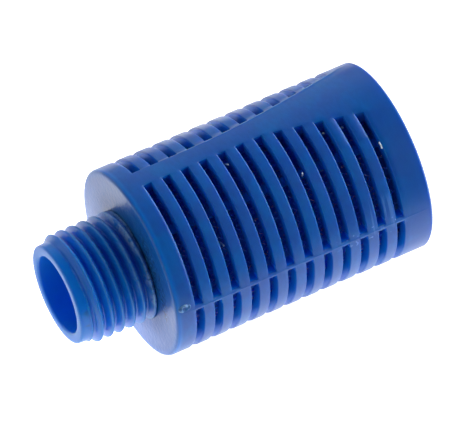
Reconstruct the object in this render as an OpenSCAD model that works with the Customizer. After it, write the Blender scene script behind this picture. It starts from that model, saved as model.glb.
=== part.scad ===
// Pneumatic exhaust muffler with a G 1/4 threaded spigot and a slotted plastic barrel.
// Units are millimetres. The muffler lies along +X: the shoulder seat is the plane x = 0,
// the threaded spigot runs to -X, the closed end faces +X, and Z is up.

/* [Connection spigot] */
// Major radius of the connection thread
thread_r = 6.5785; // [6.1:0.001:9]
// Thread pitch
thread_pitch = 1.337; // [1:0.001:2.5]
// Thread depth, crest to root
thread_depth = 0.856; // [0.4:0.001:1.2]
// Spigot length from the shoulder to the tip
spigot_length = 9.27; // [8.7:0.01:16]
// Thickness of the low collar between the last thread and the shoulder
neck_length = 0.1; // [0.05:0.05:3]
// Axial position of the first thread crest
thread_start = -7.93; // [-8.4:0.01:-4]
// Bore radius through the spigot
bore_r = 4.6; // [2:0.05:5]

/* [Barrel] */
// Outside radius of the barrel
barrel_r = 11.2; // [9:0.05:16]
// Barrel length from the shoulder to the closed end
barrel_length = 32.6; // [32.3:0.1:60]
// Wall thickness of the barrel
wall = 1.25; // [0.85:0.05:2.5]
// Thickness of the shoulder
shoulder = 2; // [1:0.1:2.4]
// Rounding of the two barrel rims
rim_round = 0.4; // [0.1:0.05:0.8]
// Angle of the mould parting line round the axis
parting_angle = 256.5; // [0:0.1:360]

/* [Slots] */
// Number of slot rows
slot_rows = 12; // [4:1:12]
// Spacing of the slot rows
slot_pitch = 2.32; // [2:0.01:2.35]
// Slot width
slot_width = 0.96; // [0.5:0.01:1.6]
// Centre of the first slot row, measured from the shoulder
first_slot = 2.93; // [2.6:0.01:3.3]
// Thickness of the web left at each parting line
web = 0.56; // [0.3:0.01:2]
// Half width of the plain band midway between the parting lines
band_half = 1.35; // [0.5:0.05:4]
// Where the curved edge of the plain band starts to widen
curve_start = 9; // [4:0.1:30]
// Radius of the curved edge of the plain band
curve_r = 60; // [30:1:200]
// Where the straight edge of the plain band starts to widen
taper_start = 17.6; // [4:0.1:30]
// Widening of the straight edge, millimetres per millimetre
taper_slope = 0.22; // [0:0.01:0.4]

/* [Inside ribs] */
// Number of inside ribs
rib_count = 4; // [2:1:8]
// Angle of the first rib round the axis
rib_angle = 205.1; // [0:0.1:360]
// Rib width
rib_width = 0.98; // [0.5:0.02:2]
// Rib height, inwards from the wall
rib_height = 0.6; // [0.2:0.05:1.5]

/* [Packing] */
// Thickness of the outer wire gauze sleeve
gauze_t = 0.4; // [0.2:0.05:1]
// Thickness of the inner wire gauze sleeve
inner_gauze_t = 0.35; // [0.2:0.05:1]
// Outside radius of the perforated core tube
core_r = 5.25; // [4.7:0.05:7]
// Wall thickness of the core tube
core_t = 0.45; // [0.3:0.05:1]
// Depth of the recess that holds the core tube
core_recess = 0.5; // [0.2:0.05:1.5]
// Radius of the holes in the core tube
core_hole_r = 0.9; // [0.4:0.05:1.3]
// Rows of holes along the core tube
core_hole_rows = 8; // [2:1:8]
// Holes round each row
core_holes_round = 8; // [4:1:12]
// Spacing of the rows of holes
core_hole_pitch = 3; // [2:0.1:3.4]
// Distance of the first row of holes from the inlet pad
core_hole_start = 1.4; // [1.3:0.1:2.5]
// Thickness of the inlet pad
inlet_pad_t = 0.8; // [0.4:0.05:2]
// Thickness of the end pad
end_pad_t = 1.2; // [0.4:0.05:2]

/* [End plug] */
// Width of the seat that the plug flange rests on
plug_seat_width = 0.36; // [0.2:0.02:0.44]
// Thickness of the plug flange
plug_t = 1.5; // [1:0.05:2]
// Depth of the plug's face below the end of the barrel
plug_sink = 0.1; // [0:0.05:0.5]
// Length of the plug's skirt, inwards from the flange
plug_skirt = 1.35; // [0.6:0.05:1.7]
// Length of the plug's hub inside the core tube
hub_length = 2; // [0.5:0.1:6]
// Radius of the dished middle of the plug
dish_r = 8.2; // [3:0.1:9.5]
// Depth of the dished middle of the plug
dish_depth = 0.5; // [0.1:0.05:0.9]

/* [Hidden] */
$fn = 96;
// Assembly clearance between separate pieces
gap = 0.04;
// Distance by which cuts and buried ends run past the faces they meet
past = 1;
bury = 0.2;
cavity_r = barrel_r - wall;

// Thread: half flank angle, and one place that a crest passes through
flank_angle = 27.5;
crest_turn = 124.7;
crest_height = -3.42;
root_r = thread_r - thread_depth;
flank = thread_depth * tan(flank_angle);
crest_half = (thread_pitch - 2 * flank) / 4;
thread_phase = crest_turn + 360 * (thread_start - crest_height) / thread_pitch;
collar_r = thread_r + 0.02;
tip_chamfer = 0.2;
mouth_chamfer = 0.3;

// The ridge climbs in short sectors that overlap, with small steps between neighbours
sector = 30;
sector_lap = 0.6;
sector_crest_step = 0.02;
sector_base_step = 0.05;
ridge_base_r = root_r - 0.3;
sector_rise = thread_pitch * sector / 360;
sector_count = floor((-neck_length - 0.1 - thread_start) / sector_rise);

// Places along the axis and radii of the pieces inside
slot_floor_r = cavity_r - 0.02;
plug_seat = barrel_length - plug_t - plug_sink;
inner_end = plug_seat - plug_skirt;
gauze_r = cavity_r - rib_height - gap;
sleeve_r = gauze_r - gauze_t - gap;
sleeve_start = shoulder + gap + inlet_pad_t + gap;
sleeve_end = inner_end - gap - end_pad_t - gap;
inner_gauze_r = core_r + gap + inner_gauze_t;

// End plug: flange, skirt and hub with small lead-in chamfers
plug_r = cavity_r + plug_seat_width - gap;
plug_face = plug_seat + plug_t;
plug_edge = 0.25;
lead_in = 0.3;
skirt_r = cavity_r - gap;
hub_r = core_r - core_t - 0.1;

// Node to show

housing();
outer_gauze();
felt_sleeve();
inner_gauze();
core_tube();
inlet_pad();
end_pad();
end_plug();

// Everything is drawn along +Z and laid along +X here.
module along_x() {
  rotate([0, 90, 0])
    children();
}

// Plain ring between two radii and two heights.
module ring(r_in, r_out, z_from, z_to) {
  rotate_extrude()
    translate([r_in, z_from])
      square([r_out - r_in, z_to - z_from]);
}

// Barrel outline with both rims rounded.
module barrel_outline() {
  square([barrel_r - rim_round, barrel_length]);
  translate([0, rim_round])
    square([barrel_r, barrel_length - 2 * rim_round]);
  translate([barrel_r - rim_round, rim_round])
    circle(r = rim_round);
  translate([barrel_r - rim_round, barrel_length - rim_round])
    circle(r = rim_round);
}

module barrel_blank() {
  rotate_extrude()
    barrel_outline();
}

// Spigot core with a chamfered tip and the low collar at the shoulder.
module spigot_blank() {
  rotate_extrude()
    polygon([[0, past], [0, -spigot_length], [root_r - tip_chamfer, -spigot_length],
             [root_r, -spigot_length + tip_chamfer], [root_r, -neck_length - bury],
             [collar_r, -neck_length], [collar_r, past]]);
}

// One short sector of the thread ridge.
module ridge_sector(crest_r, base_r) {
  rotate_extrude(angle = sector + sector_lap)
    polygon([[base_r, -crest_half - flank], [root_r, -crest_half - flank],
             [crest_r, -crest_half], [crest_r, crest_half],
             [root_r, crest_half + flank], [base_r, crest_half + flank]]);
}

// Right-hand thread, built up from short sectors that climb one pitch per turn.
module thread_ridge() {
  for (i = [0 : sector_count - 1])
    rotate([0, 0, thread_phase + sector * i])
      translate([0, 0, thread_start + sector_rise * (i + 0.5)])
        ridge_sector(thread_r - sector_crest_step * (i % 2), ridge_base_r - sector_base_step * (i % 2));
}

// Inlet bore, packing space, core tube recess and plug seat.
module hollow() {
  rotate_extrude()
    polygon([[0, -spigot_length - past], [bore_r + mouth_chamfer + past, -spigot_length - past],
             [bore_r, -spigot_length + mouth_chamfer], [bore_r, shoulder - core_recess],
             [core_r + gap, shoulder - core_recess], [core_r + gap, shoulder],
             [cavity_r, shoulder], [cavity_r, plug_seat],
             [plug_r + gap, plug_seat], [plug_r + gap, barrel_length + past],
             [0, barrel_length + past]]);
}

// Half widths of the plain band at height z, on its curved side and on its straight side.
function curved_side(z) = band_half + pow(max(0, z - curve_start), 2) / (2 * curve_r);
function straight_side(z) = band_half + taper_slope * max(0, z - taper_start);

// The plain band of one half of the mould, as a strip across the ring of windows.
module band_strip(z) {
  translate([-straight_side(z), 0])
    square([straight_side(z) + curved_side(z), barrel_r + 2 * past]);
}

// One row of four windows between the two parting webs and the two plain bands.
// The parting plane is the local X axis here, and the two mould halves pull along Y.
module slot_row(z) {
  translate([0, 0, z - slot_width / 2])
    linear_extrude(slot_width)
      difference() {
        circle(r = barrel_r + past);
        circle(r = slot_floor_r);
        square([2 * (barrel_r + 2 * past), web], center = true);
        band_strip(z);
        rotate([0, 0, 180])
          band_strip(z);
      }
}

module slots() {
  rotate([0, 0, parting_angle])
    for (i = [0 : slot_rows - 1])
      slot_row(first_slot + slot_pitch * i);
}

// Ribs that hold the packing clear of the slotted wall.
module ribs() {
  for (i = [0 : rib_count - 1])
    rotate([0, 0, rib_angle + 360 / rib_count * i])
      translate([cavity_r - rib_height, -rib_width / 2, shoulder - bury])
        cube([rib_height + bury, rib_width, inner_end - shoulder]);
}

// One moulding: threaded spigot, shoulder and slotted barrel.
module housing() {
  color([0.13, 0.36, 0.68])
    along_x()
      difference() {
        union() {
          difference() {
            union() {
              barrel_blank();
              spigot_blank();
              thread_ridge();
            }
            hollow();
          }
          ribs();
        }
        slots();
      }
}

// Woven wire sleeve seen behind the slots.
module outer_gauze() {
  color([0.42, 0.3, 0.2])
    along_x()
      ring(gauze_r - gauze_t, gauze_r, shoulder + gap, inner_end - gap);
}

// Sound absorbing sleeve between the two gauzes.
module felt_sleeve() {
  color([0.08, 0.2, 0.42])
    along_x()
      ring(inner_gauze_r + gap, sleeve_r, sleeve_start, sleeve_end);
}

// Fine wire sleeve wrapped on the core tube.
module inner_gauze() {
  color([0.5, 0.42, 0.3])
    along_x()
      ring(core_r + gap, inner_gauze_r, sleeve_start, sleeve_end);
}

// Perforated tube that carries the exhaust air into the packing.
module core_tube() {
  color([0.62, 0.63, 0.65])
    along_x()
      difference() {
        ring(core_r - core_t, core_r, shoulder - core_recess + gap, inner_end - gap);
        for (i = [0 : core_hole_rows - 1])
          for (j = [0 : core_holes_round - 1])
            translate([0, 0, sleeve_start + core_hole_start + core_hole_pitch * i])
              rotate([0, 90, 360 / core_holes_round * (j + 0.5 * (i % 2))])
                translate([0, 0, core_r - 2 * core_t])
                  cylinder(r = core_hole_r, h = 3 * core_t, $fn = 24);
      }
}

// Annular pad that closes the packing at the inlet side.
module inlet_pad() {
  color([0.12, 0.2, 0.36])
    along_x()
      ring(core_r + gap, sleeve_r, shoulder + gap, shoulder + gap + inlet_pad_t);
}

// Annular pad between the packing and the plug.
module end_pad() {
  color([0.12, 0.2, 0.36])
    along_x()
      ring(core_r + gap, sleeve_r, inner_end - gap - end_pad_t, inner_end - gap);
}

// Plug pressed into the far end of the barrel.
module end_plug() {
  color([0.13, 0.36, 0.68])
    along_x()
      rotate_extrude()
        polygon([[0, inner_end - hub_length], [hub_r - lead_in, inner_end - hub_length],
                 [hub_r, inner_end - hub_length + lead_in], [hub_r, inner_end],
                 [skirt_r - lead_in, inner_end], [skirt_r, inner_end + lead_in],
                 [skirt_r, plug_seat], [plug_r, plug_seat],
                 [plug_r, plug_face - plug_edge], [plug_r - plug_edge, plug_face],
                 [dish_r, plug_face], [dish_r - dish_depth, plug_face - dish_depth],
                 [0, plug_face - dish_depth]]);
}
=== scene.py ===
import math
from collections import namedtuple

import bpy
import numpy as np
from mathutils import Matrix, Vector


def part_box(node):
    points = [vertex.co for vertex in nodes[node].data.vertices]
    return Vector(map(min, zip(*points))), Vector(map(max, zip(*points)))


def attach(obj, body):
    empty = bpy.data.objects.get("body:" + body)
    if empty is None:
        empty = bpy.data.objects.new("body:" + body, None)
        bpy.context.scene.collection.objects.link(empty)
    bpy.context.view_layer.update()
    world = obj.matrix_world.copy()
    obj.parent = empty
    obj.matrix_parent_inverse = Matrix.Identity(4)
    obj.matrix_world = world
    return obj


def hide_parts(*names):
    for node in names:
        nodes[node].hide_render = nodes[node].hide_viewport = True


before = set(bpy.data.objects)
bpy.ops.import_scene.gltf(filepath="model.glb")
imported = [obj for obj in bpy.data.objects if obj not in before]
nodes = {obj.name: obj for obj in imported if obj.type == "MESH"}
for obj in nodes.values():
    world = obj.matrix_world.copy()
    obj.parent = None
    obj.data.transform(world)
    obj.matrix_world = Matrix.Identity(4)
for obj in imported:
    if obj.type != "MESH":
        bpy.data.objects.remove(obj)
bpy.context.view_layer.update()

MM = 0.001
TAU = 2 * math.pi


# ---------------------------------------------------------------- sizes, in millimetres and degrees
def extent(node):
    """Where a node starts and ends along the axis, and its outside radius."""
    low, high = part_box(node)
    return low.x / MM, high.x / MM, high.z / MM


def rounded_extent(node):
    return [round(value, 3) for value in extent(node)]


GAP = 0.04
TIP_X, BARREL_LENGTH, BARREL_R = rounded_extent("housing")
GAUZE_START, GAUZE_END, GAUZE_R = rounded_extent("outer_gauze")
TUBE_START, _, TUBE_R = rounded_extent("core_tube")
PLUG_START, PLUG_FACE, PLUG_R = rounded_extent("end_plug")

# Inside of the barrel: packing space, ribs, recess for the core tube and seat of the plug
CAVITY_START = GAUZE_START - GAP
RIB_END = GAUZE_END + GAP
RIB_R = GAUZE_R + GAP
RIB_HALF = 0.49
FIRST_RIB = 38.6
CAVITY_R = RIB_R + 0.6
RECESS_X = TUBE_START - GAP
RECESS_R = TUBE_R + GAP
SEAT_R = PLUG_R + GAP
PLUG_SEAT = PLUG_FACE - 1.5

# Rounded rims and slot edges
RIM = 0.4
EDGE = 0.13

# Turns round the axis: the mould's parting line, and the side of the barrel that lies uppermost
PARTING = 256.5
UPPER_SIDE = PARTING - 131.8

# Slots, the webs that cross them on the parting line, and the plain bands midway
SLOT_ROWS = 12
SLOT_PITCH = 2.32
SLOT_FIRST = 2.93
SLOT_WIDTH = 0.96
WEB_HALF = 0.28
WEB_DRAFT = 0.3
BAND_HALF = 1.35
CURVE_START = 9.0
CURVE_R = 60.0
TAPER_START = 17.6
TAPER_SLOPE = 0.22
LINE_HALF = 0.1

# G 1/4 thread on the spigot, its plain tip and the bore
THREAD_R = 6.5785
PITCH = 1.337
THREAD_DEPTH = 0.856
ROOT_R = THREAD_R - THREAD_DEPTH
CREST_X = -3.48
TIP_R = 5.9
BORE_R = 4.6


def smooth(value, low, high):
    """Eases from 0 at low to 1 at high, and stays there beyond them."""
    t = np.clip((value - low) / (high - low), 0, 1)
    return t * t * (3 - 2 * t)


def wavy(seed, count, low, high):
    """A seeded smooth function of two numbers, made of a few sine waves, from about -1 to 1."""
    draw = np.random.RandomState(seed)
    waves = [(draw.uniform(low, high), draw.uniform(0, TAU), draw.uniform(0, TAU)) for _ in range(count)]

    def value(a, b):
        total = 0
        for scale, heading, phase in waves:
            total = total + np.sin(scale * (a * math.cos(heading) + b * math.sin(heading)) + phase)
        return total / math.sqrt(count)

    return value


def place(x, turn, r):
    """A point from its place along the axis, its turn round the axis in degrees and its radius."""
    a = np.radians(turn)
    return np.stack(np.broadcast_arrays(x, r * np.sin(a), -r * np.cos(a)), -1)


def whole_turn(columns):
    """Evenly spaced turns round the axis, in degrees."""
    return np.arange(columns) * 360 / columns


# ---------------------------------------------------------------- mesh helpers
def make_object(name, points, faces, finish, slot, replaces=()):
    """Adds one smooth-shaded piece with one material, on the root body."""
    mesh = bpy.data.meshes.new(name)
    mesh.from_pydata((np.asarray(points).reshape(-1, 3) * MM).tolist(), [], [list(f) for f in faces])
    mesh.validate()
    mesh.polygons.foreach_set("use_smooth", [True] * len(mesh.polygons))
    mesh.set_sharp_from_angle(angle=math.radians(60))
    mesh.materials.append(finish)
    piece = bpy.data.objects.new(name, mesh)
    bpy.context.scene.collection.objects.link(piece)
    weigh = piece.modifiers.new("even_normals", "WEIGHTED_NORMAL")
    weigh.keep_sharp = True
    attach(piece, "root")
    if replaces:
        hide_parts(*replaces)
    return piece


def stitch(parts):
    """Joins several (points, faces) into one."""
    points, faces, base = [], [], 0
    for p, f in parts:
        p = np.asarray(p).reshape(-1, 3)
        points.append(p)
        faces.extend([[i + base for i in face] for face in f])
        base += len(p)
    return np.concatenate(points), faces


def sheet_faces(rows, columns, close_columns=True, close_rows=False):
    """Quads over a grid of rows by columns of points, wrapping round where asked."""
    i = np.arange(rows if close_rows else rows - 1)
    j = np.arange(columns if close_columns else columns - 1)
    i, j = np.meshgrid(i, j, indexing="ij")
    i2, j2 = (i + 1) % rows, (j + 1) % columns
    quads = np.stack([i * columns + j, i * columns + j2, i2 * columns + j2, i2 * columns + j], -1)
    return quads.reshape(-1, 4).tolist()


def reversed_faces(faces):
    return [f[::-1] for f in faces]


def wire(path, radius, sides=4, closed=False):
    """A round wire along a path, its cross-section turned by the radius from the axis."""
    path = np.asarray(path, float)
    if closed:
        tangent = np.roll(path, -1, 0) - np.roll(path, 1, 0)
    else:
        tangent = np.gradient(path, axis=0)
    tangent /= np.linalg.norm(tangent, axis=1)[:, None]
    outward = path * [0, 1, 1]
    outward = outward - (outward * tangent).sum(1)[:, None] * tangent
    outward /= np.linalg.norm(outward, axis=1)[:, None]
    side = np.cross(tangent, outward)
    angles = np.arange(sides) * TAU / sides
    ring = outward[:, None] * np.cos(angles)[None, :, None] + side[:, None] * np.sin(angles)[None, :, None]
    points = path[:, None] + ring * radius
    faces = reversed_faces(sheet_faces(len(path), sides, True, closed))
    if not closed:
        last = (len(path) - 1) * sides
        faces += [list(range(sides)), [last + k for k in range(sides)][::-1]]
    return points.reshape(-1, 3), faces


def lathe(profile, columns, ripple):
    """Turns a closed profile of (x, r) points into a ring with an uneven surface."""
    profile = np.asarray(profile, float)
    turn = whole_turn(columns)[None, :]
    x, r = ripple(profile[:, 0][:, None], profile[:, 1][:, None], turn)
    return place(x, turn, r), sheet_faces(len(profile), columns, True, True)


# ---------------------------------------------------------------- material helpers
def new_finish(name):
    finish = bpy.data.materials.new(name)
    finish.use_nodes = True
    tree = finish.node_tree
    tree.nodes.clear()
    output = tree.nodes.new("ShaderNodeOutputMaterial")
    shader = tree.nodes.new("ShaderNodeBsdfPrincipled")
    tree.links.new(shader.outputs[0], output.inputs[0])
    return finish, tree, shader


def wire_in(tree, socket, value):
    """Links a socket to another one, or sets it to a plain value."""
    if isinstance(value, bpy.types.NodeSocket):
        tree.links.new(value, socket)
    else:
        socket.default_value = value


def maths(tree, operation, *values):
    node = tree.nodes.new("ShaderNodeMath")
    node.operation = operation
    for socket, value in zip(node.inputs, values):
        wire_in(tree, socket, value)
    return node.outputs[0]


def fold(tree, operation, values):
    """Applies one operation along a row of values, two at a time."""
    total = values[0]
    for value in values[1:]:
        total = maths(tree, operation, total, value)
    return total


def product(tree, *factors):
    return fold(tree, "MULTIPLY", factors)


def sum_of(tree, *values):
    return fold(tree, "ADD", values)


def largest(tree, *values):
    return fold(tree, "MAXIMUM", values)


def absolute(tree, value):
    return maths(tree, "ABSOLUTE", value)


def ramp_value(tree, value, low, high, to_low=0.0, to_high=1.0):
    """Eases from to_low, where the value is low, to to_high, where it is high."""
    node = tree.nodes.new("ShaderNodeMapRange")
    node.interpolation_type = "SMOOTHSTEP"
    for socket, v in zip(node.inputs, (value, low, high, to_low, to_high)):
        wire_in(tree, socket, v)
    return node.outputs[0]


def between(tree, value, start, end):
    """1 within a stretch, 0 outside it. Each end is a pair: where the value is 0 and where it is 1."""
    return product(tree, ramp_value(tree, value, *start), ramp_value(tree, value, *end))


def blend_colour(tree, factor, first, second):
    node = tree.nodes.new("ShaderNodeMix")
    node.data_type = "RGBA"
    wire_in(tree, node.inputs[0], factor)
    for socket, colour in ((node.inputs[6], first), (node.inputs[7], second)):
        wire_in(tree, socket, colour if isinstance(colour, bpy.types.NodeSocket) else (*colour, 1))
    return node.outputs[2]


def noise(tree, spot, scale, detail, roughness=0.5, stretch=None):
    if stretch:
        mapping = tree.nodes.new("ShaderNodeMapping")
        mapping.inputs["Scale"].default_value = stretch
        tree.links.new(spot, mapping.inputs[0])
        spot = mapping.outputs[0]
    node = tree.nodes.new("ShaderNodeTexNoise")
    tree.links.new(spot, node.inputs["Vector"])
    node.inputs["Scale"].default_value = scale
    node.inputs["Detail"].default_value = detail
    node.inputs["Roughness"].default_value = roughness
    return node.outputs[0]


def bump(tree, shader, height, distance, strength, after=None):
    node = tree.nodes.new("ShaderNodeBump")
    node.inputs["Strength"].default_value = strength
    node.inputs["Distance"].default_value = distance
    wire_in(tree, node.inputs["Height"], height)
    if after is not None:
        tree.links.new(after, node.inputs["Normal"])
    tree.links.new(node.outputs[0], shader.inputs["Normal"])
    return node.outputs[0]


def object_place(tree):
    return tree.nodes.new("ShaderNodeTexCoord").outputs["Object"]


def vector_maths(tree, operation, vector, other):
    node = tree.nodes.new("ShaderNodeVectorMath")
    node.operation = operation
    tree.links.new(vector, node.inputs[0])
    node.inputs[1].default_value = other
    return node


def split_vector(tree, vector):
    node = tree.nodes.new("ShaderNodeSeparateXYZ")
    tree.links.new(vector, node.inputs[0])
    return node.outputs


Place = namedtuple("Place", "spot x y z apart")


def place_in_mm(tree, spot):
    """A surface point's distance along the axis, its y and z, and how far it is from the axis, in mm."""
    scaled = vector_maths(tree, "MULTIPLY", spot, (1 / MM, 1 / MM, 1 / MM))
    x, y, z = split_vector(tree, scaled.outputs[0])
    squares = sum_of(tree, product(tree, y, y), product(tree, z, z))
    return Place(spot, x, y, z, maths(tree, "SQRT", squares))


def along_direction(tree, at, turn):
    """Distance from the axis along the direction at one turn round it."""
    a = math.radians(turn)
    return sum_of(tree, product(tree, at.y, math.sin(a)), product(tree, at.z, -math.cos(a)))


# ---------------------------------------------------------------- blue plastic
BLUE_A = (0.0006, 0.150, 0.58)
BLUE_B = (0.0085, 0.126, 0.54)
BLUE_DEEP = (0.002, 0.08, 0.36)
BLUE_GLOW_PAINT = (0.0006, 0.29, 0.92)
BLUE_SHEEN_PAINT = (0.2, 0.42, 0.85)
BLUE_SPIGOT_PAINTED_LIGHT = (0.0008, 0.235, 0.82)
BLUE_END = (0.006, 0.108, 0.50)
BLUE_CREST_HIGHLIGHT = (0.05, 0.32, 0.95)
BLUE_FILM_AND_SHADE = (0.0006, 0.074, 0.29)
DARK_GRAIN = (0.006, 0.03, 0.08)
LIGHT_GRAIN = (0.09, 0.38, 0.85)
SCUFF = (0.2, 0.38, 0.78)
SMUDGE = (0.03, 0.09, 0.16)
LINE_HIGHLIGHT_PAINT = (0.3, 0.42, 0.7)
DRAG_LIGHT = (0.08, 0.27, 0.7)
FLASH_LIGHT = (0.2, 0.45, 0.95)


def slot_walls(tree, at, from_parting, colour):
    """The walls in the slots: duller than the outside, and painted lighter: a painted glow on the webs, the
    ribs, the shoulder's rim and the slots' undersides, and a painted sheen near the top and bottom of the
    barrel.
    """
    slotted = between(tree, at.x, (0.5, 1.2), (BARREL_LENGTH - 0.6, BARREL_LENGTH - 1.5))
    inside = product(tree, slotted, ramp_value(tree, at.apart, BARREL_R - 0.08, BARREL_R - 0.35))
    above_or_below = absolute(tree, along_direction(tree, at, UPPER_SIDE))
    duller = product(tree, slotted, ramp_value(tree, at.apart, BARREL_R, BARREL_R - 0.07),
                     ramp_value(tree, above_or_below, BARREL_R - 0.5, BARREL_R - 0.9),
                     ramp_value(tree, from_parting, 0.7, 1.1))
    gloss = ramp_value(tree, duller, 0, 1, 0.5, 0.06)
    # Painted glow: light shining through the thin webs, and light falling on the ribs, the shoulder's rim
    # and the slots' undersides, is painted as a lighter blue.
    web = product(tree, inside, ramp_value(tree, from_parting, 1.15, 0.7))
    rim = product(tree, ramp_value(tree, at.x, 0.9, 0.2),
                  ramp_value(tree, at.apart, BARREL_R - 1.0, BARREL_R - RIM), 0.5)
    bars = product(tree, inside, ramp_value(tree, at.apart, CAVITY_R + 0.1, CAVITY_R + 0.02), 0.9)
    underside = ramp_value(tree, along_direction(tree, at, UPPER_SIDE + 180), 6.5, 10.5, 0.12, 0.45)
    painted_glow = largest(tree, product(tree, inside, underside), rim, web, bars)
    colour = blend_colour(tree, painted_glow, colour, BLUE_GLOW_PAINT)
    # Painted sheen: the slot walls near the top and bottom of the barrel are painted pale.
    painted_sheen = product(tree, inside, ramp_value(tree, above_or_below, BARREL_R - 1.3, BARREL_R - 0.7), 0.9)
    return blend_colour(tree, painted_sheen, colour, BLUE_SHEEN_PAINT), gloss


def shoulder_film_and_shade(tree, at, face, colour, gloss):
    """The flat face of the shoulder is darker, a film of dirt and painted shade that deepens close to the
    thread, and duller there, with grains in its corner.
    """
    film_and_shade = ramp_value(tree, noise(tree, at.spot, 380, 4), 0.3, 0.6, 0.2, 0.36)
    near_thread = product(tree, ramp_value(tree, at.apart, 9.8, 6.6), film_and_shade)
    # Painted shade with dirt: the whole face is darkened, most near the thread.
    colour = blend_colour(tree, product(tree, face, sum_of(tree, near_thread, 0.48)), colour, BLUE_FILM_AND_SHADE)
    grimy = product(tree, face, ramp_value(tree, at.apart, 10.4, 7))
    shine = sum_of(tree, product(tree, face, 0.25), 1.0)
    gloss = product(tree, gloss, maths(tree, "SUBTRACT", shine, product(tree, grimy, 0.8)))
    # Dark and light grains caught in the corner below the parting line
    corner = product(tree, between(tree, at.x, (-0.9, -0.3), (0.3, 0.1)),
                     ramp_value(tree, at.apart, 9.4, 8.2),
                     ramp_value(tree, along_direction(tree, at, PARTING - 22), 5.6, 6.6))
    grains = noise(tree, at.spot, 2400, 4, 0.7)
    dark_grains = product(tree, corner, ramp_value(tree, grains, 0.5, 0.58), 0.8)
    light_grains = product(tree, corner, ramp_value(tree, grains, 0.42, 0.36), 0.7)
    colour = blend_colour(tree, dark_grains, colour, DARK_GRAIN)
    return blend_colour(tree, light_grains, colour, LIGHT_GRAIN), gloss


def spigot_marks(tree, at, colour, rough):
    """Pale scuffs on the last crests of the thread, and a smudge on the plain tip."""
    last_crests, above_root = ((-2.6, -1.1), (0.0, -0.25)), (5.75, 6.1)
    near_neck = product(tree, between(tree, at.x, *last_crests), ramp_value(tree, at.apart, *above_root))
    upper = ramp_value(tree, along_direction(tree, at, PARTING - 94), 3.8, 5.2)
    patch = ramp_value(tree, noise(tree, at.spot, 260, 1), 0.36, 0.5)
    scuffs = product(tree, near_neck, ramp_value(tree, noise(tree, at.spot, 1500, 6, 0.75), 0.42, 0.52),
                     largest(tree, upper, patch))
    colour = blend_colour(tree, product(tree, scuffs, 0.85), colour, SCUFF)
    rough = sum_of(tree, rough, product(tree, scuffs, 0.3))
    plain_tip = (TIP_X + 0.07, TIP_X + 0.37), (TIP_X + 1.27, TIP_X + 0.87)
    smudge = product(tree, between(tree, at.x, *plain_tip),
                     ramp_value(tree, along_direction(tree, at, PARTING - 2), TIP_R - 0.1, TIP_R - 0.02),
                     ramp_value(tree, noise(tree, at.spot, 620, 0), 0.3, 0.6), 0.4)
    return blend_colour(tree, smudge, colour, SMUDGE), rough


def band_line(tree, at, colour):
    """The fine raised line along the curved edge of the plain bands is painted lighter, a painted
    highlight.
    """
    up, aside = along_direction(tree, at, PARTING + 90), along_direction(tree, at, PARTING)
    beyond = largest(tree, maths(tree, "SUBTRACT", at.x, CURVE_START), 0.0)
    half_width = sum_of(tree, maths(tree, "DIVIDE", product(tree, beyond, beyond), 2 * CURVE_R), BAND_HALF)
    off = absolute(tree, maths(tree, "SUBTRACT", absolute(tree, aside), half_width))
    seen = (2, 8), (BARREL_LENGTH - 1.6, BARREL_LENGTH - 3.1)
    line = product(tree, ramp_value(tree, off, 0.14, 0.06), between(tree, at.x, *seen),
                   ramp_value(tree, at.apart, BARREL_R - 0.1, BARREL_R - 0.02),
                   ramp_value(tree, product(tree, up, aside), 0.0, 1.0), 0.6)
    return blend_colour(tree, line, colour, LINE_HIGHLIGHT_PAINT)


def closed_end_marks(tree, at, from_parting, colour):
    """Faint drag marks left by the mould, and light flecks of flash beside the parting line."""
    dragged = (BARREL_LENGTH - 9.1, BARREL_LENGTH - 7.6), (BARREL_LENGTH - 4.0, BARREL_LENGTH - 5.2)
    drag = product(tree, between(tree, at.x, *dragged),
                   ramp_value(tree, along_direction(tree, at, PARTING - 9),
                              BARREL_R - 0.3, BARREL_R - 0.08),
                   ramp_value(tree, noise(tree, at.spot, 4200, 1, 0.5, (1, 0.03, 0.03)), 0.52, 0.62), 0.7)
    colour = blend_colour(tree, drag, colour, DRAG_LIGHT)
    flecked = (BARREL_LENGTH - 13.6, BARREL_LENGTH - 7.6), (BARREL_LENGTH - 3.1, BARREL_LENGTH - 3.6)
    beside_line = (0.15, 0.3), (1.2, 0.6)
    flash = product(tree, between(tree, at.x, *flecked), between(tree, from_parting, *beside_line),
                    ramp_value(tree, noise(tree, at.spot, 2600, 0), 0.68, 0.73),
                    ramp_value(tree, at.apart, BARREL_R - 0.6, BARREL_R - 0.3), 0.8)
    return blend_colour(tree, flash, colour, FLASH_LIGHT)


def wear_and_painted_light(tree, spot, colour, rough):
    """Tones, small marks, painted light and painted shade of the housing, and the grain of its shoulder
    face.
    """
    at = place_in_mm(tree, spot)
    from_parting = absolute(tree, along_direction(tree, at, PARTING + 90))
    colour, gloss = slot_walls(tree, at, from_parting, colour)
    # Painted light: the spigot is painted a lighter blue, to brighten it where the shoulder shades it.
    colour = blend_colour(tree, ramp_value(tree, at.x, 0.1, -1.6), colour, BLUE_SPIGOT_PAINTED_LIGHT)
    far_end = product(tree, ramp_value(tree, at.x, BARREL_LENGTH - 4.1, BARREL_LENGTH - 1.6), 0.6)
    colour = blend_colour(tree, far_end, colour, BLUE_END)
    # Painted highlight: the crests of the thread are painted a little lighter
    crests = product(tree, ramp_value(tree, at.apart, THREAD_R - 0.09, THREAD_R - 0.01),
                     between(tree, at.x, (-8.2, -7.0), (0.3, 0.0)), 0.3)
    colour = blend_colour(tree, crests, colour, BLUE_CREST_HIGHLIGHT)
    face = between(tree, at.x, (-0.4, -0.05), (0.22, 0.06))
    colour, gloss = shoulder_film_and_shade(tree, at, face, colour, gloss)
    colour, rough = spigot_marks(tree, at, colour, rough)
    colour = band_line(tree, at, colour)
    colour = closed_end_marks(tree, at, from_parting, colour)
    grain = product(tree, face, noise(tree, spot, 1500, 3, 0.6))
    return colour, rough, gloss, grain


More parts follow.
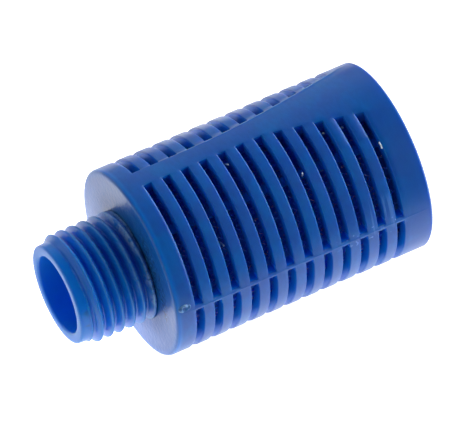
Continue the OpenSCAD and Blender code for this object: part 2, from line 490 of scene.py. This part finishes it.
def blue_plastic(name, used=False):
    finish, tree, shader = new_finish(name)
    spot = object_place(tree)
    patches = ramp_value(tree, noise(tree, spot, 300, 2), 0.4, 0.6)
    colour = blend_colour(tree, patches, BLUE_A, BLUE_B)
    mottle = ramp_value(tree, noise(tree, spot, 1300, 3, 0.6, (1.6, 0.7, 0.7)), 0.35, 0.65, 0, 0.22)
    colour = blend_colour(tree, mottle, colour, BLUE_DEEP)
    rough = ramp_value(tree, noise(tree, spot, 90, 0), 0.3, 0.7, 0.28, 0.36)
    gloss = 0.5
    if used:
        colour, rough, gloss, grain = wear_and_painted_light(tree, spot, colour, rough)
    wire_in(tree, shader.inputs["Base Color"], colour)
    wire_in(tree, shader.inputs["Roughness"], rough)
    wire_in(tree, shader.inputs["Specular IOR Level"], gloss)
    shader.inputs["IOR"].default_value = 1.5
    # The plastic lets a little light through, which fills the slots and the thread
    shader.inputs["Subsurface Weight"].default_value = 0.6
    shader.inputs["Subsurface Scale"].default_value = 2 * MM
    shader.inputs["Subsurface Radius"].default_value = (0.12, 0.4, 1.0)
    broad = bump(tree, shader, noise(tree, spot, 260, 2), 0.1 * MM, 0.3)
    fine = bump(tree, shader, noise(tree, spot, 2600, 4, 0.65), 0.012 * MM, 0.5, broad)
    if used:
        bump(tree, shader, grain, 0.1 * MM, 0.6, fine)
    return finish


# ---------------------------------------------------------------- other materials
def metal_wire(name, dull, bright, roughness, from_noise=0.35, metallic=1.0):
    finish, tree, shader = new_finish(name)
    spot = object_place(tree)
    mix = ramp_value(tree, noise(tree, spot, 1400, 4, 0.6), from_noise, from_noise + 0.3)
    wire_in(tree, shader.inputs["Base Color"], blend_colour(tree, mix, dull, bright))
    wire_in(tree, shader.inputs["Roughness"], ramp_value(tree, mix, 0, 1, roughness + 0.15, roughness))
    shader.inputs["Metallic"].default_value = metallic
    bump(tree, shader, noise(tree, spot, 9000, 2), 0.01 * MM, 0.4)
    return finish


def fibre(name, dark, light, scale):
    finish, tree, shader = new_finish(name)
    spot = object_place(tree)
    strands = noise(tree, spot, scale, 5, 0.65, (1.0, 0.35, 1.6))
    cross = noise(tree, spot, scale, 5, 0.65, (0.35, 1.6, 0.8))
    tangle = largest(tree, strands, cross)
    wire_in(tree, shader.inputs["Base Color"],
            blend_colour(tree, ramp_value(tree, tangle, 0.45, 0.75), dark, light))
    shader.inputs["Roughness"].default_value = 0.92
    shader.inputs["Sheen Weight"].default_value = 0.25
    bump(tree, shader, tangle, 0.06 * MM, 0.9)
    return finish


blue = blue_plastic("blue_plastic_worn_and_painted_light", used=True)
blue_clean = blue_plastic("blue_plastic_plug")
# The wire's dull tone is painted blue, a painted reflection of the blue plastic round it; the bright tone
# is the bronze.
bronze = metal_wire("bronze_wire", (0.08, 0.34, 0.95), (0.72, 0.36, 0.28), 0.35, 0.45)
# The cut ends are painted near white, a painted glint.
painted_glint = metal_wire("cut_wire_ends", (0.62, 0.8, 0.95), (0.8, 0.92, 1.0), 0.25, metallic=0.0)
stressed = metal_wire("blue_plastic_stressed", (0.03, 0.2, 0.6), (0.24, 0.46, 0.78), 0.25, metallic=0.0)
fine_wire = metal_wire("fine_brass_wire", (0.35, 0.24, 0.10), (0.66, 0.50, 0.26), 0.32)
# Painted light and shade: the blue light from the plastic round the felt and pads, and the dark of the
# cavity, are painted into their tone as a deep blue.
felt = fibre("pressed_felt", (0.012, 0.2, 0.8), (0.03, 0.32, 0.95), 1700)
pad_fibre = fibre("fibre_board", (0.012, 0.16, 0.6), (0.03, 0.26, 0.85), 1300)
tube_metal = metal_wire("drawn_tube", (0.42, 0.43, 0.45), (0.62, 0.63, 0.65), 0.28)


# ---------------------------------------------------------------- housing: slotted barrel
def curved_side(x):
    return BAND_HALF + max(0.0, x - CURVE_START) ** 2 / (2 * CURVE_R)


def straight_side(x):
    return BAND_HALF + TAPER_SLOPE * max(0.0, x - TAPER_START)


def half_turn_lines():
    """Lines over half a turn: (base turn, sideways offset at x, kind of wall that follows, steps)."""
    ridge, flat = 0.07, 0.16
    second_rib = FIRST_RIB + 90
    return [
        (0, lambda x: 0.0, "web", 1), (0, lambda x: ridge, "web", 1), (0, lambda x: flat, "web", 1),
        (0, lambda x: WEB_HALF, "window", 12),
        (FIRST_RIB, lambda x: -RIB_HALF, "rib", 2), (FIRST_RIB, lambda x: RIB_HALF, "window", 12),
        (90, lambda x: -curved_side(x) - LINE_HALF, "window", 1),
        (90, lambda x: -curved_side(x), "band", 1),
        (90, lambda x: -curved_side(x) + LINE_HALF, "band", 10),
        (90, lambda x: straight_side(x) - LINE_HALF, "band", 1), (90, straight_side, "window", 10),
        (second_rib, lambda x: -RIB_HALF, "rib", 2), (second_rib, lambda x: RIB_HALF, "window", 16),
        (180, lambda x: -WEB_HALF, "web", 1), (180, lambda x: -flat, "web", 1),
        (180, lambda x: -ridge, "web", 1),
    ]


def line_turns(lines, x, r):
    """Turns of every column of points at one place along the axis and one radius."""
    draft = WEB_DRAFT * min(1.0, (BARREL_R - r) / (BARREL_R - CAVITY_R))
    keys = []
    for base, side, _, _ in lines:
        aside = side(x)
        if abs(aside) == WEB_HALF and CAVITY_START < x < PLUG_SEAT:
            aside += math.copysign(draft, aside)
        keys.append(base + math.degrees(math.asin(aside / max(r, RIB_R))))
    keys.append(180.0)
    row = []
    for a, b, (_, _, _, steps) in zip(keys, keys[1:], lines):
        row += [a + (b - a) * t / steps for t in range(steps)]
    return row + [a + 180 for a in row]


def plastic_cells(xs, rs, kinds, slots):
    """Which cells of the grid are plastic."""
    middle_x = (np.array(xs[1:]) + np.array(xs[:-1])) / 2
    middle_r = (np.array(rs[1:]) + np.array(rs[:-1])) / 2
    in_slot = np.array([any(s < m < s + SLOT_WIDTH for s in slots) for m in middle_x])
    window = np.array([k in ("window", "rib") for k in kinds])
    rib = np.array([k == "rib" for k in kinds])
    solid = np.zeros((len(middle_x), len(middle_r), len(kinds)), bool)
    for i, m in enumerate(middle_x):
        for k, r in enumerate(middle_r):
            if m < CAVITY_START:
                solid[i, k] = True
            elif r < RIB_R:
                solid[i, k] = False
            elif r < CAVITY_R:
                solid[i, k] = rib & (m < RIB_END)
            elif m > PLUG_SEAT:
                solid[i, k] = r > SEAT_R
            else:
                solid[i, k] = ~(window & in_slot[i])
    return solid


def round_rims(xs, x3, r3):
    """Rounds the outside rims at both ends, and breaks the edge of the plug's seat."""
    last_x, last_r = x3.shape[0] - 1, x3.shape[1] - 1
    low = RIM * (1 - math.cos(math.pi / 8))
    middle = RIM * (1 - math.sqrt(0.5))
    high = RIM * (1 - math.sin(math.pi / 8))
    for end, sign in ((0, 1), (last_x, -1)):
        x3[end, last_r] = xs[end] + sign * middle
        r3[end, last_r] = BARREL_R - middle
        x3[end + sign, last_r] = xs[end] + sign * high
        r3[end + sign, last_r] = BARREL_R - low
        x3[end, last_r - 2] = xs[end] + sign * low
        r3[end, last_r - 2] = BARREL_R - high
        x3[end, last_r - 1] = xs[end] + sign * (low + middle) / 2
        r3[end, last_r - 1] = BARREL_R - (high + middle) / 2
    x3[last_x, 3] = BARREL_LENGTH - 0.03
    r3[last_x, 3] = SEAT_R + 0.03


def raised_lines(xs, kinds, is_key, slots, outer_turns):
    """Height of the fine lines where the mould halves met and along the curved edge of the bands."""
    at_slots, between_slots, on_bands = 0.045, 0.03, 0.08
    lift = np.zeros((len(xs), len(kinds)))
    for j in np.flatnonzero(is_key):
        before, after = kinds[j - 1], kinds[j]
        on_parting = before == after == "web" and abs(outer_turns[j] % 180) < 1e-6
        on_curve = before == "window" and after == "band"
        for i, x in enumerate(xs):
            if not RIM < x < BARREL_LENGTH - RIM:
                continue
            if on_parting:
                beside_slot = any(s - 0.01 <= x <= s + SLOT_WIDTH + 0.01 for s in slots)
                lift[i, j] = at_slots if beside_slot else between_slots
            if on_curve:
                lift[i, j] = on_bands * float(smooth(x, 5, 14)) * float(smooth(x, 32, 29.5))
    return lift


def round_slot_edges(xs, x3, turn, r3, solid, slots):
    """Moves the outside edge of every slot a little into the plastic."""
    last_r = x3.shape[1] - 1
    step, corner_step = EDGE * 0.29, 0.03
    for s in slots:
        for line_x, away in ((s, -1), (s + SLOT_WIDTH, 1)):
            i = int(np.argmin(np.abs(np.array(xs) - line_x)))
            cell = i if away < 0 else i - 1
            open_here = ~solid[cell, last_r - 1]
            open_before = np.roll(open_here, 1)
            edge = open_here | open_before
            corner = open_here != open_before
            x3[i, last_r, edge] += away * step
            r3[i, last_r, edge] -= step
            sideways = np.where(open_here[corner], -1, 1) * corner_step
            turn[i, last_r, corner] += np.degrees(sideways / BARREL_R)


def skin(points, solid):
    """Faces between plastic and air in a grid of cells, and only the points that they use."""
    index = np.arange(points.size // 3).reshape(points.shape[:3])
    cells_x, cells_r, columns = solid.shape
    padded = np.zeros((cells_x + 2, cells_r + 2, columns), bool)
    padded[1:-1, 1:-1] = solid
    right = np.roll(index, -1, 2)
    before = np.roll(solid, 1, 2)
    faces = []

    def add(quad, inside, outside):
        faces.extend(quad[inside & ~outside].tolist())
        faces.extend(quad[~inside & outside][:, ::-1].tolist())

    # outwards and inwards
    for i, k in np.ndindex(cells_x, cells_r + 1):
        quad = np.stack([index[i, k], right[i, k], right[i + 1, k], index[i + 1, k]], -1)
        add(quad, padded[i + 1, k], padded[i + 1, k + 1])
    # along the axis
    for i, k in np.ndindex(cells_x + 1, cells_r):
        quad = np.stack([index[i, k], index[i, k + 1], right[i, k + 1], right[i, k]], -1)
        add(quad, padded[i, k + 1], padded[i + 1, k + 1])
    # round the axis
    for i, k in np.ndindex(cells_x, cells_r):
        quad = np.stack([index[i, k], index[i + 1, k], index[i + 1, k + 1], index[i, k + 1]], -1)
        add(quad, before[i, k], solid[i, k])
    used = np.unique(np.array(faces))
    renumber = np.zeros(index.size, int)
    renumber[used] = np.arange(len(used))
    return points.reshape(-1, 3)[used], renumber[np.array(faces)].tolist()


def barrel():
    """The slotted barrel as a grid of cells: along the axis, outwards, and round the axis."""
    slots = [SLOT_FIRST - SLOT_WIDTH / 2 + SLOT_PITCH * k for k in range(SLOT_ROWS)]
    rim_step = RIM * 0.617
    xs = [0, rim_step, RIM, 1.2, CAVITY_START]
    for s in slots:
        xs += [s - EDGE, s, s + SLOT_WIDTH, s + SLOT_WIDTH + EDGE]
    xs += [RIB_END, (RIB_END + PLUG_SEAT) / 2, PLUG_SEAT, BARREL_LENGTH - 1, BARREL_LENGTH - RIM,
           BARREL_LENGTH - rim_step, BARREL_LENGTH - 0.1, BARREL_LENGTH]
    rs = [RECESS_R, RIB_R, CAVITY_R, SEAT_R, SEAT_R + 0.1, BARREL_R - RIM, BARREL_R - rim_step,
          BARREL_R - EDGE, BARREL_R]
    lines = half_turn_lines()
    kinds = [kind for _, _, kind, steps in lines for _ in range(steps)] * 2
    is_key = [t == 0 for _, _, _, steps in lines for t in range(steps)] * 2
    turn = np.array([[line_turns(lines, x, r) for r in rs] for x in xs])
    x3 = np.array(xs)[:, None, None] + np.zeros_like(turn)
    r3 = np.array(rs)[None, :, None] + np.zeros_like(turn)
    solid = plastic_cells(xs, rs, kinds, slots)
    round_rims(xs, x3, r3)
    lift = raised_lines(xs, kinds, is_key, slots, turn[5, -1])
    round_slot_edges(xs, x3, turn, r3, solid, slots)
    r3[:, -1] += lift
    return skin(place(x3, turn + PARTING, r3), solid)


# ---------------------------------------------------------------- housing: threaded spigot
def thread_height(offset):
    """Height of a 55 degree thread with rounded crest and root, at a distance from the crest."""
    offset = np.abs(offset)
    tall = 0.96 * PITCH
    round_r = 0.137 * PITCH
    flank_end = round_r * math.cos(math.radians(55 / 2))
    crest_centre = THREAD_DEPTH / 2 - round_r
    crest = crest_centre + np.sqrt(np.maximum(round_r ** 2 - offset ** 2, 0))
    root = -crest_centre - np.sqrt(np.maximum(round_r ** 2 - (PITCH / 2 - offset) ** 2, 0))
    flank = tall / 2 - 2 * tall * offset / PITCH
    height = np.where(offset < flank_end, crest, np.where(offset > PITCH / 2 - flank_end, root, flank))
    return height + THREAD_DEPTH / 2


def thread_radius(x, turn):
    """Radius of the thread at places along the axis and turns round it."""
    crest = CREST_X + PITCH * (turn - UPPER_SIDE)[None, :] / 360
    thread = ROOT_R + thread_height(x - crest - np.round((x - crest) / PITCH) * PITCH)
    # The grooves start shallow behind the plain tip, and the lead-in cone trims the first crest
    groove = crest + (np.round((x - crest) / PITCH - 0.5) + 0.5) * PITCH
    lead_in = smooth(x, -8.15, -7.2)
    full_depth = smooth(groove, -8.2, -7.45)
    cone = np.minimum(TIP_R + 0.07 * (x + 9) + 0.64 * lead_in, THREAD_R)
    r = cone - full_depth * np.maximum(0, cone - thread)
    r = np.maximum(r, ROOT_R + 0.58 * smooth(x, -0.7, -0.3))
    # The last groove is closed up over about a third of a turn, where the thread meets the shoulder
    after = (turn - UPPER_SIDE + 50) % 360 - 50
    closed = smooth(after, -45, -20) * (1 - smooth(after, 55, 90))
    return np.maximum(r, ROOT_R + 0.74 * closed[None, :] * smooth(x, -1.1, -0.7))


def spigot():
    """The bore, its rounded mouth, the plain tip and the thread, as rings of points from inside out."""
    columns = 192
    turn = whole_turn(columns)
    tip_round, mouth_round = 0.28, 0.3
    quarter = np.radians([0, 22.5, 45, 67.5, 90])
    bore = [(RECESS_X, RECESS_R), (RECESS_X, BORE_R), (0, BORE_R), (-4, BORE_R), (-8, BORE_R)]
    mouth = [(TIP_X + mouth_round * (1 - math.cos(a)), BORE_R + mouth_round * (1 - math.sin(a)))
             for a in quarter[::-1]]
    head = [(TIP_X + tip_round * (1 - math.cos(a)), TIP_R - tip_round * (1 - math.sin(a))) for a in quarter]
    rows = [place(np.full(columns, x), turn, np.full(columns, r)) for x, r in bore + mouth + head]
    first_ring, last_ring, ring_gap = -8.95, 0.3, 0.045
    x = np.arange(first_ring, last_ring, ring_gap)[:, None] + np.zeros(columns)
    rows += list(place(x, turn[None, :], thread_radius(x, turn)))
    return np.array(rows).reshape(-1, 3), reversed_faces(sheet_faces(len(rows), columns))


def gate_mark():
    """The small raised ring left where the plastic was fed into the mould."""
    rings, columns = 14, 36
    uneven = wavy(5, 5, 2.0, 6.0)
    rho = np.linspace(0, 1, rings)[:, None]
    angle = np.arange(columns)[None, :] * TAU / columns
    across = rho * (0.52 + 0.05 * np.sin(3 * angle + 1))
    along = rho * (0.74 + 0.06 * np.cos(2 * angle))
    centre_x, centre_turn = 1.12, PARTING - 3.5
    x = centre_x + along * np.cos(angle)
    side = across * np.sin(angle)
    ring = 0.14 * np.exp(-((rho - 0.66) / 0.22) ** 2)
    height = ring * np.maximum(0.1, 1 + 0.8 * uneven(x * 2, side * 2)) - 0.012
    height = np.where(rho > 0.97, -0.05, height)
    turn = centre_turn + np.degrees(side / BARREL_R)
    points = place(x, turn, BARREL_R + height)
    return points.reshape(-1, 3), reversed_faces(sheet_faces(rings, columns))


make_object("housing_moulding", *stitch([barrel(), spigot()]), blue, "blue_plastic", ("housing",))
make_object("gate_mark", *gate_mark(), stressed, "blue_plastic")


# ---------------------------------------------------------------- packing
def knitted_sleeve():
    """One continuous wire knitted into a tube of interlocking loops, a little crushed and uneven."""
    low_x, high_x, outside_r = extent("outer_gauze")
    start, end = low_x + 0.55, high_x - 0.55
    middle_r = outside_r - 0.2
    wales, steps, rise, wire_r = 40, 14, 1.15, 0.055
    turns = (end - start) / rise
    t = np.arange(int(turns * wales) * steps) / steps
    pull_x, pull_s, pull_h = wavy(11, 6, 0.25, 0.9), wavy(12, 6, 0.25, 0.9), wavy(13, 5, 0.3, 1.1)
    wale_width = TAU * middle_r / wales
    s = t * wale_width - 0.26 * np.sin(2 * TAU * t)
    base_x = start + rise * t / wales
    x = base_x + (0.86 + 0.12 * pull_h(s, base_x)) * np.cos(TAU * t)
    round_s = s % (TAU * middle_r)
    x = x + 0.24 * pull_x(round_s, base_x)
    s = s + 0.24 * pull_s(round_s, base_x)
    r = middle_r + 0.085 * np.cos(2 * TAU * t) + 0.03 * pull_h(base_x, round_s)
    x = np.clip(x, low_x + 0.1, high_x - 0.1)
    return wire(place(x, np.degrees(s / middle_r), r), wire_r)


def loose_ends():
    """Short cut ends of wire that stand in the mouths of some of the slots."""
    # Slot row, offset from its middle, turns at both ends of the strand and radii at both ends
    strands = [
        (11, 0.36, (207.0, 211.0), (11.13, 11.13)), (7, 0.02, (205.6, 207.0), (11.05, 10.6)),
        (4, -0.05, (180.2, 182.6), (10.5, 10.95)), (9, -0.05, (186.6, 187.8), (10.4, 10.7)),
        (10, -0.05, (187.6, 189.2), (10.3, 10.6)), (2, 0.1, (225, 227), (9.6, 10.6)),
        (8, 0.1, (30, 33), (9.6, 10.9)), (3, -0.1, (122, 124), (9.7, 10.8)),
        (10, 0.1, (330, 333), (9.6, 10.9)),
    ]
    wire_r = 0.1
    t = np.linspace(0, 1, 8)
    parts = []
    for row, offset, turns, radii in strands:
        x = SLOT_FIRST + SLOT_PITCH * row + offset + 0.06 * np.sin(3 * t)
        turn = turns[0] + (turns[1] - turns[0]) * t
        r = radii[0] + (radii[1] - radii[0]) * t ** 1.5
        parts.append(wire(place(x, turn, r), wire_r, 6))
    return stitch(parts)


def woven_sleeve():
    """Plain weave of fine wire round the core tube."""
    start, end, outside_r = extent("inner_gauze")
    start, end = start + 0.06, end - 0.06
    middle_r = (outside_r + RECESS_R) / 2
    warp, weft_gap, depth, wire_r = 64, 0.55, 0.075, 0.055
    rings = int((end - start) / weft_gap)
    x = np.linspace(start, end, rings * 4 + 1)
    beat = (x - start) / weft_gap * math.pi
    parts = []
    for k in range(warp):
        parts.append(wire(place(x, 360 * k / warp, middle_r + depth * np.cos(beat + math.pi * k)), wire_r))
    turn = whole_turn(warp * 3)
    for i in range(rings + 1):
        r = middle_r - depth * np.cos(math.pi * i + np.radians(turn) * warp / 2)
        ring_x = np.full(len(turn), min(start + i * weft_gap, end))
        parts.append(wire(place(ring_x, turn, r), wire_r, 4, True))
    return stitch(parts)


def soft_ring(node, hole_r, round_r):
    """A ring of pressed fibre: rounded corners and an uneven, slightly hollowed surface."""
    x0, x1, r1 = extent(node)
    corners = ((x0 + round_r, r1 - round_r, 180), (x1 - round_r, r1 - round_r, 90),
               (x1 - round_r, hole_r + round_r, 0), (x0 + round_r, hole_r + round_r, -90))
    profile = []
    for cx, cr, first in corners:
        for a in np.radians([first, first - 30, first - 60, first - 90]):
            profile.append((cx + round_r * math.cos(a), cr + round_r * math.sin(a)))
    dense = []
    for (ax, ar), (bx, br) in zip(profile, profile[1:] + profile[:1]):
        steps = max(1, int(math.hypot(bx - ax, br - ar) / 0.5))
        dense += [(ax + (bx - ax) * t / steps, ar + (br - ar) * t / steps) for t in range(steps)]
    lumps = wavy(21, 8, 0.8, 3.2)
    middle_x, middle_r = (x0 + x1) / 2, (hole_r + r1) / 2

    def ripple(x, r, turn):
        dip = 0.02 + 0.018 * lumps(x * 1.3 + r, np.radians(turn) * 9)
        return x + dip * np.sign(middle_x - x) * 0.6, r + dip * np.sign(middle_r - r)

    return lathe(dense, 160, ripple)


make_object("knitted_wire_sleeve", *knitted_sleeve(), bronze, "bronze_gauze", ("outer_gauze",))
make_object("cut_wire_ends", *loose_ends(), painted_glint, "bronze_gauze")
make_object("woven_wire_sleeve", *woven_sleeve(), fine_wire, "fine_gauze", ("inner_gauze",))
for name, node, hole_r, round_r, finish, slot in (
        ("felt_packing", "felt_sleeve", rounded_extent("inner_gauze")[2] + GAP, 0.3, felt, "felt"),
        ("inlet_fibre_pad", "inlet_pad", RECESS_R, 0.15, pad_fibre, "pad_fibre"),
        ("end_fibre_pad", "end_pad", RECESS_R, 0.15, pad_fibre, "pad_fibre")):
    piece = make_object(name, *soft_ring(node, hole_r, round_r), finish, slot, (node,))


# ---------------------------------------------------------------- end plug and core tube
def plug():
    """The plug's outline from the middle of its hub to the middle of its dished face, turned."""
    corner, rim, hub_r = 0.12, 0.25, TUBE_R - 0.55
    face, dish, dish_r, skirt_end = PLUG_FACE, PLUG_FACE - 0.5, 8.2, RIB_END + 0.2
    steps = [(PLUG_START, 0.0), (PLUG_START, hub_r - 0.3), (PLUG_START + 0.09, hub_r - 0.09),
             (PLUG_START + 0.3, hub_r), (skirt_end - 0.15, hub_r), (skirt_end - 0.05, hub_r + 0.04),
             (skirt_end, hub_r + 0.15), (skirt_end, CAVITY_R - 0.35), (skirt_end + 0.07, CAVITY_R - 0.15),
             (skirt_end + 0.3, CAVITY_R - GAP), (PLUG_SEAT - 0.1, CAVITY_R - GAP), (PLUG_SEAT, CAVITY_R),
             (PLUG_SEAT, PLUG_R - 0.12), (PLUG_SEAT + 0.05, PLUG_R - 0.03), (PLUG_SEAT + 0.15, PLUG_R),
             (face - rim, PLUG_R), (face - 0.08, PLUG_R - 0.07), (face, PLUG_R - rim),
             (face, dish_r + corner), (face - 0.03, dish_r), (face - corner, dish_r - 0.1),
             (dish + corner, dish_r - 0.38), (dish + 0.03, dish_r - 0.5), (dish, dish_r - 0.7), (dish, 5.0),
             (dish, 2.2), (dish + 0.01, 1.2), (dish + 0.08, 0.95), (dish + 0.09, 0.8), (dish + 0.05, 0.5),
             (dish + 0.11, 0.3), (dish + 0.1, 0.0)]
    columns = 144
    turn = whole_turn(columns)
    points = np.array([place(np.full(columns, x), turn, np.full(columns, max(r, 0.001))) for x, r in steps])
    return points.reshape(-1, 3), sheet_faces(len(steps), columns)


make_object("end_plug_moulding", *plug(), blue_clean, "blue_plastic", ("end_plug",))
core_tube = nodes["core_tube"]
core_tube.data.materials.clear()
core_tube.data.materials.append(tube_metal)


# ---------------------------------------------------------------- floor, light and camera
def paper():
    """White paper with a painted pool of light: it glows and is paler under the muffler, and darker away
    from it.
    """
    finish, tree, shader = new_finish("white_paper")
    spot = object_place(tree)
    far = vector_maths(tree, "DISTANCE", spot, (17 * MM, 8 * MM, 0)).outputs["Value"]
    wire_in(tree, shader.inputs["Base Color"],
            blend_colour(tree, ramp_value(tree, far, 0.06, 0.15), (0.5, 0.5, 0.5), (0.2, 0.2, 0.21)))
    shader.inputs["Roughness"].default_value = 0.9
    shader.inputs["Specular IOR Level"].default_value = 0.0
    shader.inputs["Emission Color"].default_value = (1, 1, 1, 1)
    # A painted band of light beside the shoulder: the paper glows there, as a reflector would shine
    x, y, _ = split_vector(tree, spot)
    aside = absolute(tree, sum_of(tree, x, 3 * MM))
    across = absolute(tree, sum_of(tree, y, -9 * MM))
    glow = product(tree, ramp_value(tree, aside, 10 * MM, 5 * MM, 0, 0.8),
                   ramp_value(tree, across, 17 * MM, 8 * MM))
    wire_in(tree, shader.inputs["Emission Strength"],
            sum_of(tree, glow, ramp_value(tree, far, 0.043, 0.085, 1.08, 0.05)))
    return finish


just_below = -(BARREL_R + 0.02) * MM
bpy.ops.mesh.primitive_plane_add(size=4, location=(0, 0, just_below))
floor = bpy.context.object
floor.name = "floor"
floor.data.materials.append(paper())

# Directions of the main view: to the right, upwards and out of the picture
azimuth, elevation = math.radians(-28.7), math.radians(51.7)
view_x = np.array([math.cos(azimuth), math.sin(azimuth), 0])
view_z = np.array([math.cos(elevation) * math.sin(azimuth), -math.cos(elevation) * math.cos(azimuth),
                   math.sin(elevation)])
view_y = np.cross(view_z, view_x)


def studio(out_of_picture):
    """Studio light: dim in front, bright behind, with a large source beyond the closed end.

    Weaker sources light the spigot's end, one from the front and one from the back.
    """
    world = bpy.data.worlds.new("studio")
    world.use_nodes = True
    tree = world.node_tree
    tree.nodes.clear()
    output = tree.nodes.new("ShaderNodeOutputWorld")
    background = tree.nodes.new("ShaderNodeBackground")
    tree.links.new(background.outputs[0], output.inputs[0])
    heading = tree.nodes.new("ShaderNodeTexCoord").outputs["Generated"]
    along, _, _ = split_vector(tree, heading)
    toward = vector_maths(tree, "DOT_PRODUCT", heading, out_of_picture).outputs["Value"]
    around = ramp_value(tree, toward, 0.55, -0.75, 0.015, 0.75)
    right = ramp_value(tree, along, 0.5, 0.75, 0, 4.15)
    front_left = product(tree, ramp_value(tree, along, -0.35, -0.8, 0, 0.85),
                         ramp_value(tree, toward, 0.05, 0.35))
    left = product(tree, ramp_value(tree, along, -0.05, -0.6, 0, 1.1),
                   ramp_value(tree, toward, 0.25, -0.15))
    tree.links.new(sum_of(tree, right, left, front_left, around), background.inputs["Strength"])
    return world


scene = bpy.context.scene
scene.world = studio(view_z.tolist())
scene.view_settings.view_transform = "Standard"

camera_data = bpy.data.cameras.new("camera")
camera_data.lens, camera_data.sensor_width = 708.3, 36
camera_data.clip_end = 20
camera = bpy.data.objects.new("camera", camera_data)
scene.collection.objects.link(camera)
camera.location = (10.693 * view_x + 5.10 * view_y + 992.0 * view_z) * MM
camera.rotation_euler = (math.pi / 2 - elevation, 0, azimuth)
scene.camera = camera
